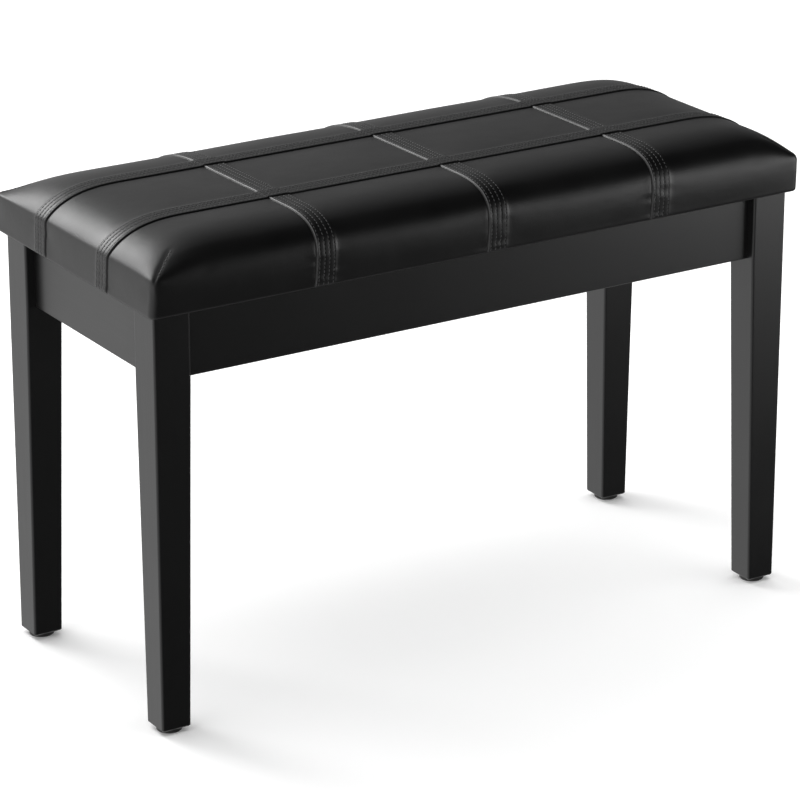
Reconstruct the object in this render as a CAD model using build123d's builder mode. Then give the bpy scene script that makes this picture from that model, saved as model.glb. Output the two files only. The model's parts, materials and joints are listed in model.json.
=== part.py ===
from build123d import *
import math
import os

# Storage piano bench: four tapered legs and four aprons make an open box with a bottom
# panel. A padded lid closes it, hinged along the back and held open by two folding stays.
#
# Millimetres. Origin on the floor under the middle of the lid. X is the long way,
# +Y the hinged back edge; the lid opens upwards from the front edge (-Y).

# ---------------------------------------------------------------- lid and cushion
lid_length = 760.0
lid_width = 325.0
lid_underside = 437.0          # height of the lid's underside above the floor
cushion_side = 30.0            # straight, upright side of the cushion
cushion_crown = 33.0           # rise of the crown above that side
crown_end_run = 95.0           # how far in from each end the crown needs to come level
crown_edge_run = 85.0          # the same from the front and back edges
cushion_corner = 10.0          # corner radius in plan
cover_thickness = 1.2
lid_board_thickness = 9.0
hem_width = 32.0               # cover turned under the board
lining_margin = 26.0           # lid edge to the edge of the dust cloth
lining_thickness = 0.6
lining_slot_length = 26.0      # cloth cut away where the end of each stay's link turns
lining_slot_air = 1.3          # that link's outer face to the cloth
staple_crown = 12.0
staple_wire = 0.6
staple_leg = 6.0
staple_inset = 4.0             # edge of the dust cloth to the staples
staple_pitch = 82.0
wood_above_screw = 1.0         # left in the lid board above its screw holes

# ---------------------------------------------------------------- frame
lid_gap = 3.0                  # shadow gap between frame and lid
overhang_end = 8.0             # lid beyond the legs at each end
overhang_side = 10.0           # lid beyond the legs at front and back
leg_size = 40.0
foot_size = 32.0               # the two inner faces taper, the outer ones stay plumb
leg_edge = 2.5                 # rounding of the leg's long edges
foot_chamfer = 1.5
apron_height = 68.0
apron_thickness = 15.0
apron_setback = 10.0           # front and side aprons behind the legs' outer faces
apron_edge = 1.0
leg_flat = 10.0                # inner corner of the leg planed off for the corner block

floor_thickness = 3.0
floor_rise = 8.0               # apron's lower edge to the underside of the bottom panel
groove_depth = 5.0
groove_clearance = 0.2

block_thickness = 15.0
block_height = 36.0
block_lift = 2.0               # above the bottom panel
block_draw = 2.0               # gap to the leg, so that the bolts pull up tight

bolt_radius = 4.0
bolt_in_leg = 20.0
bolt_spacing = 18.0
washer_radius = 8.0
washer_thickness = 1.6
nut_across_flats = 13.0
nut_height = 6.5
bolt_tail = 3.0

block_screw_radius = 2.0
block_screw_head_radius = 3.6
block_screw_head_height = 2.2
block_screw_bite = 9.0         # length in the apron
block_screw_seat = 5.0         # wood left under the head
block_screw_head_fit = 0.2     # round the head in its counterbore

glide_radius = 13.0
glide_height = 5.0
glide_edge = 1.5
nail_radius = 1.25
nail_in_glide = 3.0
nail_in_leg = 15.0

bumper_radius = 5.0
bumper_clearance = 0.3
bumper_inset = 10.0            # leg's outer faces to the bumper's middle

# ---------------------------------------------------------------- hinges
hinge_spacing = 460.0
hinge_length = 50.0
hinge_leaf = 14.0              # leaf width in front of the legs' back faces
hinge_leaf_thickness = 1.0
hinge_knuckle_radius = 2.5
hinge_pin_radius = 1.25
hinge_pin_head = 0.8           # height
hinge_pin_head_radius = 2.1
knuckle_count = 5
knuckle_gap = 0.3
hinge_air = 0.1                # knuckle to the lid's underside and to the legs' back faces
running_fit = 0.05

# ---------------------------------------------------------------- folding stays
stay_block_gap = 1.96          # rear corner block to the stay's base plate
stay_base_below = 46.7         # lid's underside to the base rivet
stay_lid_behind = 15.4         # base rivet to the lid rivet, along Y
stay_lid_below = 11.0
stay_lower_length = 55.6
stay_upper_length = 79.7
stay_width = 14.0
stay_thickness = 1.8
stay_plate_thickness = 1.5
stay_air = 0.5                 # between neighbouring plates
open_pivot_air = 0.3           # between the upper link and the lid bracket
rivet_radius = 2.5
rivet_head_radius = 4.2
rivet_head_height = 1.2
base_plate_height = 32.0
base_screw_first = 12.0        # base rivet to the first screw
base_screw_pitch = 9.0
lid_flange_width = 14.0
lid_flange_length = 32.0
lid_screw_pitch = 20.0

screw_radius = 1.6
screw_in_wood = 9.0
screw_fit = 0.05
sink_angle = 90               # of every countersunk head
over_drill = 1.0               # holes run this much past what fills them

# ---------------------------------------------------------------- worked out
frame_top = lid_underside - lid_gap
apron_bottom = frame_top - apron_height
leg_x = lid_length / 2 - overhang_end
leg_y = lid_width / 2 - overhang_side
box_x = leg_x - apron_setback - apron_thickness
box_front = -(leg_y - apron_setback - apron_thickness)
box_rear = leg_y - apron_thickness
inner_leg_x = leg_x - leg_size
inner_leg_y = leg_y - leg_size
floor_bottom = apron_bottom + floor_rise
floor_top = floor_bottom + floor_thickness
block_bottom = floor_top + block_lift
washer_seat = block_draw + block_thickness
board_bottom = lid_underside + cover_thickness
board_top = board_bottom + lid_board_thickness
lining_bottom = lid_underside - lining_thickness
pin_y = leg_y + hinge_knuckle_radius + hinge_air
pin_z = lid_underside - hinge_knuckle_radius - hinge_air
diagonal = math.sqrt(2)

sides = {"left": -1, "right": 1}
corners = {
    "front_left": (-1, -1),
    "front_right": (1, -1),
    "rear_left": (-1, 1),
    "rear_right": (1, 1),
}

os.makedirs("parts", exist_ok=True)


def save(piece, node):
    """Label a finished piece and write it as its own STEP file."""
    piece.part.label = node
    export_step(piece.part, f"parts/{node}.step")


def box_corner(sx, sy):
    """Where the inner faces of two aprons meet."""
    return sx * box_x, box_rear if sy > 0 else box_front


def bolt_plane(sx, sy, distance, height):
    """Plane across a leg bolt, its normal pointing from the leg into the box.

    distance is measured from the planed flat on the leg's inner corner."""
    x = sx * (inner_leg_x + leg_flat / 2 - distance / diagonal)
    y = sy * (inner_leg_y + leg_flat / 2 - distance / diagonal)
    return Plane(origin=(x, y, height), x_dir=(0, 0, 1), z_dir=(-sx, -sy, 0))


bolt_heights = [
    block_bottom + block_height / 2 - bolt_spacing / 2,
    block_bottom + block_height / 2 + bolt_spacing / 2,
]

# ================================================================ legs
for corner, (sx, sy) in corners.items():
    with BuildPart() as leg:
        # straight part beside the aprons
        with BuildSketch(Plane.XY.offset(apron_bottom)):
            with Locations((sx * (leg_x - leg_size / 2), sy * (leg_y - leg_size / 2))):
                RectangleRounded(leg_size, leg_size, leg_edge)
        extrude(amount=apron_height)
        # tapered part down to the foot
        with BuildSketch(Plane.XY.offset(apron_bottom)):
            with Locations((sx * (leg_x - leg_size / 2), sy * (leg_y - leg_size / 2))):
                RectangleRounded(leg_size, leg_size, leg_edge)
        with BuildSketch(Plane.XY.offset(glide_height)):
            with Locations((sx * (leg_x - foot_size / 2), sy * (leg_y - foot_size / 2))):
                RectangleRounded(foot_size, foot_size, leg_edge)
        loft()
        chamfer(leg.faces().sort_by(Axis.Z)[0].edges(), length=foot_chamfer)
        # flat on the inner corner, where the corner block draws up
        with BuildSketch(Plane.XY.offset(floor_top)):
            with BuildLine():
                Polyline(
                    (sx * inner_leg_x, sy * inner_leg_y),
                    (sx * (inner_leg_x + leg_flat), sy * inner_leg_y),
                    (sx * inner_leg_x, sy * (inner_leg_y + leg_flat)),
                    close=True,
                )
            make_face()
        extrude(amount=frame_top - floor_top, mode=Mode.SUBTRACT)
        for height in bolt_heights:
            with BuildSketch(bolt_plane(sx, sy, 0, height)):
                Circle(bolt_radius + screw_fit)
            extrude(amount=-bolt_in_leg - over_drill, mode=Mode.SUBTRACT)
        with BuildSketch(Plane.XY.offset(glide_height)):
            with Locations((sx * (leg_x - foot_size / 2), sy * (leg_y - foot_size / 2))):
                Circle(nail_radius + screw_fit)
        extrude(amount=nail_in_leg + over_drill, mode=Mode.SUBTRACT)
    save(leg, f"leg_{corner}")

# ================================================================ glides and their nails
for corner, (sx, sy) in corners.items():
    with BuildPart() as glide:
        with BuildSketch():
            with Locations((sx * (leg_x - foot_size / 2), sy * (leg_y - foot_size / 2))):
                Circle(glide_radius)
        extrude(amount=glide_height)
        fillet(glide.faces().sort_by(Axis.Z)[0].edges(), radius=glide_edge)
        with BuildSketch(Plane.XY.offset(glide_height)):
            with Locations((sx * (leg_x - foot_size / 2), sy * (leg_y - foot_size / 2))):
                Circle(nail_radius)
        extrude(amount=-nail_in_glide, mode=Mode.SUBTRACT)
    save(glide, f"glide_{corner}")

with BuildPart() as glide_nails:
    with BuildSketch(Plane.XY.offset(glide_height - nail_in_glide)):
        with GridLocations(2 * leg_x - foot_size, 2 * leg_y - foot_size, 2, 2):
            Circle(nail_radius)
    extrude(amount=nail_in_glide + nail_in_leg)
save(glide_nails, "glide_nails")

# ================================================================ aprons
# Every corner block has one screw into each of its two aprons. Each is driven
# square to the apron, through the end of the block.
block_near = {}
block_far = {}
block_screw_place = {}
for corner, (sx, sy) in corners.items():
    corner_x, corner_y = box_corner(sx, sy)
    to_leg = abs(corner_x) - inner_leg_x + abs(corner_y) - inner_leg_y
    block_near[corner] = to_leg - leg_flat + block_draw * diagonal
    block_far[corner] = block_near[corner] + block_thickness * diagonal
    block_screw_place[corner] = block_far[corner] - block_screw_seat - block_screw_head_radius
block_screw_height = block_bottom + block_height / 2


def block_screw_planes():
    """One plane for each block screw: on the apron's inner face, normal into the box."""
    planes = []
    for corner, (sx, sy) in corners.items():
        corner_x, corner_y = box_corner(sx, sy)
        place = block_screw_place[corner]
        on_long = (corner_x - sx * place, corner_y, block_screw_height)
        on_side = (corner_x, corner_y - sy * place, block_screw_height)
        planes.append(Plane(origin=on_long, x_dir=(1, 0, 0), z_dir=(0, -sy, 0)))
        planes.append(Plane(origin=on_side, x_dir=(0, 1, 0), z_dir=(-sx, 0, 0)))
    return planes


hinge_screw_x = [-hinge_length / 3, 0, hinge_length / 3]
hinge_screw_y = leg_y - hinge_leaf / 2

for node, inner_face, sy in (("front", box_front, -1), ("rear", box_rear, 1)):
    with BuildPart() as long_apron:
        with BuildSketch(Plane.XY.offset(apron_bottom)):
            with Locations((0, inner_face + sy * apron_thickness / 2)):
                Rectangle(2 * inner_leg_x, apron_thickness)
        extrude(amount=apron_height)
        chamfer(
            long_apron.edges().filter_by(Axis.X).group_by(Axis.Z)[0],
            length=apron_edge,
        )
        with BuildSketch(Plane.XY.offset(floor_bottom - groove_clearance)):
            with Locations((0, inner_face)):
                Rectangle(2 * inner_leg_x, 2 * groove_depth)
        extrude(amount=floor_thickness + 2 * groove_clearance, mode=Mode.SUBTRACT)
        for plane in block_screw_planes():
            if plane.z_dir.Y * sy < 0:
                with BuildSketch(plane):
                    Circle(block_screw_radius + screw_fit)
                extrude(amount=-block_screw_bite - over_drill, mode=Mode.SUBTRACT)
        if sy > 0:
            with BuildSketch(Plane.XY.offset(frame_top)):
                for side in sides.values():
                    for step in hinge_screw_x:
                        with Locations((side * hinge_spacing / 2 + step, hinge_screw_y)):
                            Circle(screw_radius + screw_fit)
            extrude(amount=-screw_in_wood - over_drill, mode=Mode.SUBTRACT)
    save(long_apron, f"apron_{node}")

stay_base_y = box_rear - block_far["rear_left"] - stay_block_gap - stay_width / 2
stay_base_z = lid_underside - stay_base_below
base_screw_heights = [
    stay_base_z + base_screw_first,
    stay_base_z + base_screw_first + base_screw_pitch,
]

for node, sx in sides.items():
    with BuildPart() as side_apron:
        with BuildSketch(Plane.XY.offset(apron_bottom)):
            with Locations((sx * (box_x + apron_thickness / 2), 0)):
                Rectangle(apron_thickness, 2 * inner_leg_y)
        extrude(amount=apron_height)
        chamfer(
            side_apron.edges().filter_by(Axis.Y).group_by(Axis.Z)[0],
            length=apron_edge,
        )
        with BuildSketch(Plane.XY.offset(floor_bottom - groove_clearance)):
            with Locations((sx * box_x, 0)):
                Rectangle(2 * groove_depth, 2 * inner_leg_y)
        extrude(amount=floor_thickness + 2 * groove_clearance, mode=Mode.SUBTRACT)
        for plane in block_screw_planes():
            if plane.z_dir.X * sx < 0:
                with BuildSketch(plane):
                    Circle(block_screw_radius + screw_fit)
                extrude(amount=-block_screw_bite - over_drill, mode=Mode.SUBTRACT)
        with BuildSketch(Plane.YZ.offset(sx * box_x)):
            for height in base_screw_heights:
                with Locations((stay_base_y, height)):
                    Circle(screw_radius + screw_fit)
        extrude(amount=sx * (screw_in_wood + over_drill), mode=Mode.SUBTRACT)
    save(side_apron, f"apron_{node}")

# ================================================================ bottom panel
panel_reach = groove_depth - 2 * groove_clearance
with BuildPart() as storage_floor:
    with BuildSketch(Plane.XY.offset(floor_bottom)):
        with Locations((0, (box_front + box_rear) / 2)):
            Rectangle(2 * (box_x + panel_reach), box_rear - box_front + 2 * panel_reach)
        # notched round the legs
        with GridLocations(2 * leg_x, 2 * leg_y, 2, 2):
            notch = 2 * (leg_size + groove_clearance)
            Rectangle(notch, notch, mode=Mode.SUBTRACT)
    extrude(amount=floor_thickness)
save(storage_floor, "storage_floor")

# ================================================================ corner blocks
for corner, (sx, sy) in corners.items():
    corner_x, corner_y = box_corner(sx, sy)
    near = block_near[corner]
    far = block_far[corner]
    with BuildPart() as corner_block:
        with BuildSketch(Plane.XY.offset(block_bottom)):
            with BuildLine():
                Polyline(
                    (corner_x - sx * near, corner_y),
                    (corner_x - sx * far, corner_y),
                    (corner_x, corner_y - sy * far),
                    (corner_x, corner_y - sy * near),
                    close=True,
                )
            make_face()
        extrude(amount=block_height)
        for height in bolt_heights:
            with BuildSketch(bolt_plane(sx, sy, 0, height)):
                Circle(bolt_radius + screw_fit)
            extrude(amount=washer_seat + over_drill, mode=Mode.SUBTRACT)
        for plane in block_screw_planes():
            to_corner = Vector(corner_x, corner_y, block_screw_height) - plane.origin
            if to_corner.length < far:
                with BuildSketch(plane):
                    Circle(block_screw_radius + screw_fit)
                extrude(amount=far, mode=Mode.SUBTRACT)
                with BuildSketch(plane.offset(block_screw_seat)):
                    Circle(block_screw_head_radius + block_screw_head_fit)
                extrude(amount=far, mode=Mode.SUBTRACT)
    save(corner_block, f"corner_block_{corner}")

with BuildPart() as block_screws:
    for plane in block_screw_planes():
        with BuildSketch(plane.offset(-block_screw_bite)):
            Circle(block_screw_radius)
        extrude(amount=block_screw_bite + block_screw_seat)
        with BuildSketch(plane.offset(block_screw_seat)):
            Circle(block_screw_head_radius)
        extrude(amount=block_screw_head_height)
save(block_screws, "block_screws")

# ================================================================ leg bolts
with BuildPart() as leg_bolts:
    for sx, sy in corners.values():
        for height in bolt_heights:
            with BuildSketch(bolt_plane(sx, sy, -bolt_in_leg, height)):
                Circle(bolt_radius)
            extrude(amount=bolt_in_leg + washer_seat + washer_thickness + nut_height + bolt_tail)
save(leg_bolts, "leg_bolts")

with BuildPart() as leg_washers:
    for sx, sy in corners.values():
        for height in bolt_heights:
            with BuildSketch(bolt_plane(sx, sy, washer_seat, height)):
                Circle(washer_radius)
                Circle(bolt_radius + screw_fit, mode=Mode.SUBTRACT)
            extrude(amount=washer_thickness)
save(leg_washers, "leg_washers")

with BuildPart() as leg_nuts:
    for sx, sy in corners.values():
        for height in bolt_heights:
            with BuildSketch(bolt_plane(sx, sy, washer_seat + washer_thickness, height)):
                RegularPolygon(nut_across_flats / 2, 6, major_radius=False)
                Circle(bolt_radius + screw_fit, mode=Mode.SUBTRACT)
            extrude(amount=nut_height)
save(leg_nuts, "leg_nuts")

# ================================================================ bumpers under the lid
with BuildPart() as lid_bumpers:
    with BuildSketch(Plane.XY.offset(frame_top)):
        with GridLocations(2 * (leg_x - bumper_inset), 2 * (leg_y - bumper_inset), 2, 2):
            Circle(bumper_radius)
    extrude(amount=lid_gap - bumper_clearance)
save(lid_bumpers, "lid_bumpers")

# ================================================================ hinges
knuckle_pitch = hinge_length / knuckle_count
frame_knuckles = list(range(0, knuckle_count, 2))
lid_knuckles = list(range(1, knuckle_count, 2))


def knuckle_start(hinge_x, index):
    return hinge_x - hinge_length / 2 + index * knuckle_pitch


def hinge_half(hinge_x, leaf_bottom, own, other):
    """One leaf with its own knuckles rolled round the pin, cut back from the other's."""
    with BuildPart() as half:
        with BuildSketch(Plane.XY.offset(leaf_bottom)):
            with Locations((hinge_x, pin_y)):
                Rectangle(
                    hinge_length - knuckle_gap,
                    pin_y - leg_y + hinge_leaf,
                    align=(Align.CENTER, Align.MAX),
                )
        extrude(amount=hinge_leaf_thickness)
        for index in other:
            start = knuckle_start(hinge_x, index) - knuckle_gap / 2
            with BuildSketch(Plane.YZ.offset(start)):
                with Locations((pin_y, pin_z)):
                    Circle(hinge_knuckle_radius + knuckle_gap)
            extrude(amount=knuckle_pitch + knuckle_gap, mode=Mode.SUBTRACT)
        for index in own:
            start = knuckle_start(hinge_x, index) + knuckle_gap / 2
            with BuildSketch(Plane.YZ.offset(start)):
                with Locations((pin_y, pin_z)):
                    Circle(hinge_knuckle_radius)
            extrude(amount=knuckle_pitch - knuckle_gap)
        with BuildSketch(Plane.YZ.offset(hinge_x - hinge_length / 2 - over_drill)):
            with Locations((pin_y, pin_z)):
                Circle(hinge_pin_radius + running_fit)
        extrude(amount=hinge_length + 2 * over_drill, mode=Mode.SUBTRACT)
    return half


def screw_points(hinge_x, height):
    return [(hinge_x + step, hinge_screw_y, height) for step in hinge_screw_x]


for node, side in sides.items():
    hinge_x = side * hinge_spacing / 2
    frame_half = hinge_half(hinge_x, frame_top, frame_knuckles, lid_knuckles)
    with BuildPart() as hinge_leaf_frame:
        add(frame_half.part)
        for point in screw_points(hinge_x, frame_top + hinge_leaf_thickness):
            with Locations(point):
                CounterSinkHole(
                    radius=screw_radius + screw_fit,
                    counter_sink_radius=screw_radius + screw_fit + hinge_leaf_thickness,
                    counter_sink_angle=sink_angle,
                )
    save(hinge_leaf_frame, f"hinge_leaf_frame_{node}")

    lid_half = hinge_half(
        hinge_x, lid_underside - hinge_leaf_thickness, lid_knuckles, frame_knuckles
    )
    with BuildPart() as hinge_leaf_lid:
        add(lid_half.part)
        for x, y, z in screw_points(hinge_x, lid_underside - hinge_leaf_thickness):
            with Locations(Plane(origin=(x, y, z), z_dir=(0, 0, -1))):
                CounterSinkHole(
                    radius=screw_radius + screw_fit,
                    counter_sink_radius=screw_radius + screw_fit + hinge_leaf_thickness,
                    counter_sink_angle=sink_angle,
                )
    save(hinge_leaf_lid, f"hinge_leaf_lid_{node}")

    with BuildPart() as hinge_pin:
        pin_start = hinge_x - hinge_length / 2 + knuckle_gap / 2
        pin_end = hinge_x + hinge_length / 2 - knuckle_gap / 2
        with BuildSketch(Plane.YZ.offset(pin_start)):
            with Locations((pin_y, pin_z)):
                Circle(hinge_pin_radius)
        extrude(amount=pin_end - pin_start)
        for head_start in (pin_start - hinge_pin_head, pin_end):
            with BuildSketch(Plane.YZ.offset(head_start)):
                with Locations((pin_y, pin_z)):
                    Circle(hinge_pin_head_radius)
            extrude(amount=hinge_pin_head)
    save(hinge_pin, f"hinge_pin_{node}")


def countersunk_screw(plane, head_height, length):
    """Countersunk wood screw: plane on top of the head, normal pointing out of the wood."""
    with BuildPart() as screw:
        with BuildSketch(plane):
            Circle(screw_radius + head_height)
        with BuildSketch(plane.offset(-head_height)):
            Circle(screw_radius)
        loft()
        with BuildSketch(plane.offset(-head_height)):
            Circle(screw_radius)
        extrude(amount=-length)
    return screw.part


frame_hinge_screws = []
lid_hinge_screws = []
for side in sides.values():
    for x, y, z in screw_points(side * hinge_spacing / 2, frame_top + hinge_leaf_thickness):
        plane = Plane(origin=(x, y, z))
        frame_hinge_screws.append(countersunk_screw(plane, hinge_leaf_thickness, screw_in_wood))
    for x, y, z in screw_points(side * hinge_spacing / 2, lid_underside - hinge_leaf_thickness):
        plane = Plane(origin=(x, y, z), z_dir=(0, 0, -1))
        lid_hinge_screws.append(countersunk_screw(plane, hinge_leaf_thickness, screw_in_wood))

with BuildPart() as hinge_screws_frame:
    add(frame_hinge_screws)
save(hinge_screws_frame, "hinge_screws_frame")

with BuildPart() as hinge_screws_lid:
    add(lid_hinge_screws)
save(hinge_screws_lid, "hinge_screws_lid")

# ================================================================ folding stays
# Each stay works in an upright plane beside its side apron. From the apron inwards
# come the base plate, the lower link, the upper link and the lid bracket.
stay_lid_y = stay_base_y + stay_lid_behind
stay_lid_z = lid_underside - stay_lid_below

# the elbow at rest, in front of and below the straight line from base to lid
reach = math.hypot(stay_lid_y - stay_base_y, stay_lid_z - stay_base_z)
foot = (stay_lower_length**2 - stay_upper_length**2 + reach**2) / (2 * reach)
bow = math.sqrt(stay_lower_length**2 - foot**2)
along_y = (stay_lid_y - stay_base_y) / reach
along_z = (stay_lid_z - stay_base_z) / reach
elbow_y = stay_base_y + foot * along_y - bow * along_z
elbow_z = stay_base_z + foot * along_z + bow * along_y

lower_outer = box_x - stay_plate_thickness - stay_air
upper_outer = lower_outer - stay_thickness - stay_air
bracket_outer = upper_outer - stay_thickness - open_pivot_air


def upright(side, outer, thickness):
    """YZ plane on the left-hand face of a plate that is thickness thick.

    outer is the distance of the plate's outer face from the middle of the bench."""
    return Plane.YZ.offset(min(side * outer, side * (outer - thickness)))


def link(side, outer, start, end):
    """Flat bar with round ends and a rivet hole in each."""
    middle = ((start[0] + end[0]) / 2, (start[1] + end[1]) / 2)
    length = math.hypot(end[0] - start[0], end[1] - start[1])
    turn = math.degrees(math.atan2(end[1] - start[1], end[0] - start[0]))
    with BuildPart() as bar:
        with BuildSketch(upright(side, outer, stay_thickness)):
            with Locations(middle):
                SlotCenterToCenter(length, stay_width, rotation=turn)
            with Locations(start, end):
                Circle(rivet_radius + running_fit, mode=Mode.SUBTRACT)
        extrude(amount=stay_thickness)
    return bar


def rivet(side, at, outer, inner, outer_head, inner_head):
    """Rivet along X from outer to inner, with a head on the ends that are asked for."""
    with BuildPart() as pin:
        with BuildSketch(upright(side, outer, outer - inner)):
            with Locations(at):
                Circle(rivet_radius)
        extrude(amount=outer - inner)
        if outer_head:
            with BuildSketch(upright(side, outer + rivet_head_height, rivet_head_height)):
                with Locations(at):
                    Circle(rivet_head_radius)
            extrude(amount=rivet_head_height)
        if inner_head:
            with BuildSketch(upright(side, inner, rivet_head_height)):
                with Locations(at):
                    Circle(rivet_head_radius)
            extrude(amount=rivet_head_height)
    return pin


base = (stay_base_y, stay_base_z)
elbow = (elbow_y, elbow_z)
lid_pivot = (stay_lid_y, stay_lid_z)
lid_screw_points = [
    (stay_lid_y - lid_screw_pitch / 2, bracket_outer - lid_flange_width / 2),
    (stay_lid_y + lid_screw_pitch / 2, bracket_outer - lid_flange_width / 2),
]
base_screws = []
lid_bracket_screws = []

for node, side in sides.items():
    with BuildPart() as stay_base_bracket:
        with BuildSketch(upright(side, box_x, stay_plate_thickness)):
            with Locations((stay_base_y, stay_base_z - stay_width / 2)):
                Rectangle(stay_width, base_plate_height, align=(Align.CENTER, Align.MIN))
            with Locations(base):
                Circle(rivet_radius, mode=Mode.SUBTRACT)
        extrude(amount=stay_plate_thickness)
        for height in base_screw_heights:
            face = Plane(
                origin=(side * (box_x - stay_plate_thickness), stay_base_y, height),
                z_dir=(-side, 0, 0),
            )
            with Locations(face):
                CounterSinkHole(
                    radius=screw_radius + screw_fit,
                    counter_sink_radius=screw_radius + screw_fit + stay_plate_thickness,
                    counter_sink_angle=sink_angle,
                )
            base_screws.append(countersunk_screw(face, stay_plate_thickness, screw_in_wood))
    save(stay_base_bracket, f"stay_base_bracket_{node}")

    lower_inner = lower_outer - stay_thickness
    upper_inner = upper_outer - stay_thickness
    save(rivet(side, base, box_x, lower_inner, False, True), f"stay_base_rivet_{node}")
    save(link(side, lower_outer, base, elbow), f"stay_lower_link_{node}")
    save(rivet(side, elbow, lower_outer, upper_inner, True, True), f"stay_elbow_rivet_{node}")
    save(link(side, upper_outer, elbow, lid_pivot), f"stay_upper_link_{node}")
    save(rivet(side, lid_pivot, upper_outer, upper_inner, True, False), f"stay_upper_rivet_{node}")
    save(
        rivet(side, lid_pivot, bracket_outer, bracket_outer - stay_plate_thickness, False, True),
        f"stay_lid_rivet_{node}",
    )

    with BuildPart() as stay_lid_bracket:
        # tab with the pivot, hanging from the lid
        with BuildSketch(upright(side, bracket_outer, stay_plate_thickness)):
            with Locations((stay_lid_y, stay_lid_z)):
                Rectangle(stay_width, lining_bottom - stay_lid_z, align=(Align.CENTER, Align.MIN))
                Circle(stay_width / 2)
                Circle(rivet_radius, mode=Mode.SUBTRACT)
        extrude(amount=stay_plate_thickness)
        # flange screwed up into the lid board
        with BuildSketch(Plane.XY.offset(lining_bottom)):
            with Locations((side * (bracket_outer - lid_flange_width / 2), stay_lid_y)):
                Rectangle(lid_flange_width, lid_flange_length)
        extrude(amount=-stay_plate_thickness)
        for y, x in lid_screw_points:
            face = Plane(
                origin=(side * x, y, lining_bottom - stay_plate_thickness),
                z_dir=(0, 0, -1),
            )
            with Locations(face):
                CounterSinkHole(
                    radius=screw_radius + screw_fit,
                    counter_sink_radius=screw_radius + screw_fit + stay_plate_thickness,
                    counter_sink_angle=sink_angle,
                )
            lid_bracket_screws.append(
                countersunk_screw(face, stay_plate_thickness, screw_in_wood)
            )
    save(stay_lid_bracket, f"stay_lid_bracket_{node}")

with BuildPart() as stay_base_screws:
    add(base_screws)
save(stay_base_screws, "stay_base_screws")

with BuildPart() as stay_lid_screws:
    add(lid_bracket_screws)
save(stay_lid_screws, "stay_lid_screws")


# ================================================================ lid
def crowned_block(inset, bottom):
    """Outline of the cushion, pulled in by inset on every face, standing on bottom."""
    half_length = lid_length / 2 - inset
    half_width = lid_width / 2 - inset
    shoulder = lid_underside + cushion_side
    rise = cushion_crown - inset
    with BuildPart() as block:
        for view, half, run, depth, mode in (
            (Plane.XZ, half_length, crown_end_run - inset, half_width, Mode.ADD),
            (Plane.YZ, half_width, crown_edge_run - inset, half_length, Mode.INTERSECT),
        ):
            with BuildSketch(view):
                with BuildLine():
                    Line((half, bottom), (half, shoulder))
                    bend = EllipticalCenterArc((half - run, shoulder), run, rise, arc_size=90)
                    Line(bend @ 1, (0, shoulder + rise))
                    mirror(about=Plane.YZ)
                    Line((-half, bottom), (half, bottom))
                make_face()
            extrude(amount=depth, both=True, mode=mode)
        with BuildSketch(Plane.XY.offset(bottom)):
            RectangleRounded(2 * half_length, 2 * half_width, cushion_corner - inset)
        extrude(amount=shoulder + rise - bottom, mode=Mode.INTERSECT)
    return block


lining_length = lid_length - 2 * lining_margin
lining_width = lid_width - 2 * lining_margin

# every screw that goes up through cover, cloth and board
lid_holes = []
for side in sides.values():
    for x, y, z in screw_points(side * hinge_spacing / 2, lid_underside):
        lid_holes.append((x, y))
    for y, x in lid_screw_points:
        lid_holes.append((side * x, y))


with BuildSketch(Plane.XY.offset(lining_bottom)) as drilling:
    with Locations(*lid_holes):
        Circle(screw_radius + screw_fit)
drill_depth = board_top - wood_above_screw - lining_bottom

outer_shape = crowned_block(0, lid_underside)
filling_shape = crowned_block(cover_thickness, board_bottom)
foam_shape = crowned_block(cover_thickness, board_top)

with BuildPart() as lid_board:
    with BuildSketch(Plane.XY.offset(board_bottom)):
        RectangleRounded(
            lid_length - 2 * cover_thickness,
            lid_width - 2 * cover_thickness,
            cushion_corner - cover_thickness,
        )
    extrude(amount=lid_board_thickness)
    extrude(drilling.sketch, amount=drill_depth, mode=Mode.SUBTRACT)
save(lid_board, "lid_board")

with BuildPart() as seat_foam:
    add(foam_shape.part)
save(seat_foam, "seat_foam")

with BuildPart() as seat_cover:
    add(outer_shape.part)
    add(filling_shape.part, mode=Mode.SUBTRACT)
    # open underneath, inside the hem
    with BuildSketch(Plane.XY.offset(lid_underside)):
        Rectangle(lid_length - 2 * hem_width, lid_width - 2 * hem_width)
    extrude(amount=cover_thickness, mode=Mode.SUBTRACT)
    extrude(drilling.sketch, amount=drill_depth, mode=Mode.SUBTRACT)
save(seat_cover, "seat_cover")

with BuildPart() as lid_lining:
    with BuildSketch(Plane.XY.offset(lining_bottom)):
        Rectangle(lining_length, lining_width)
        slot_width = upper_outer + lining_slot_air - bracket_outer
        slot_x = bracket_outer + slot_width / 2
        with Locations((-slot_x, stay_lid_y), (slot_x, stay_lid_y)):
            Rectangle(slot_width, lining_slot_length, mode=Mode.SUBTRACT)
    extrude(amount=lining_thickness)
    extrude(drilling.sketch, amount=drill_depth, mode=Mode.SUBTRACT)
save(lid_lining, "lid_lining")

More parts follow.
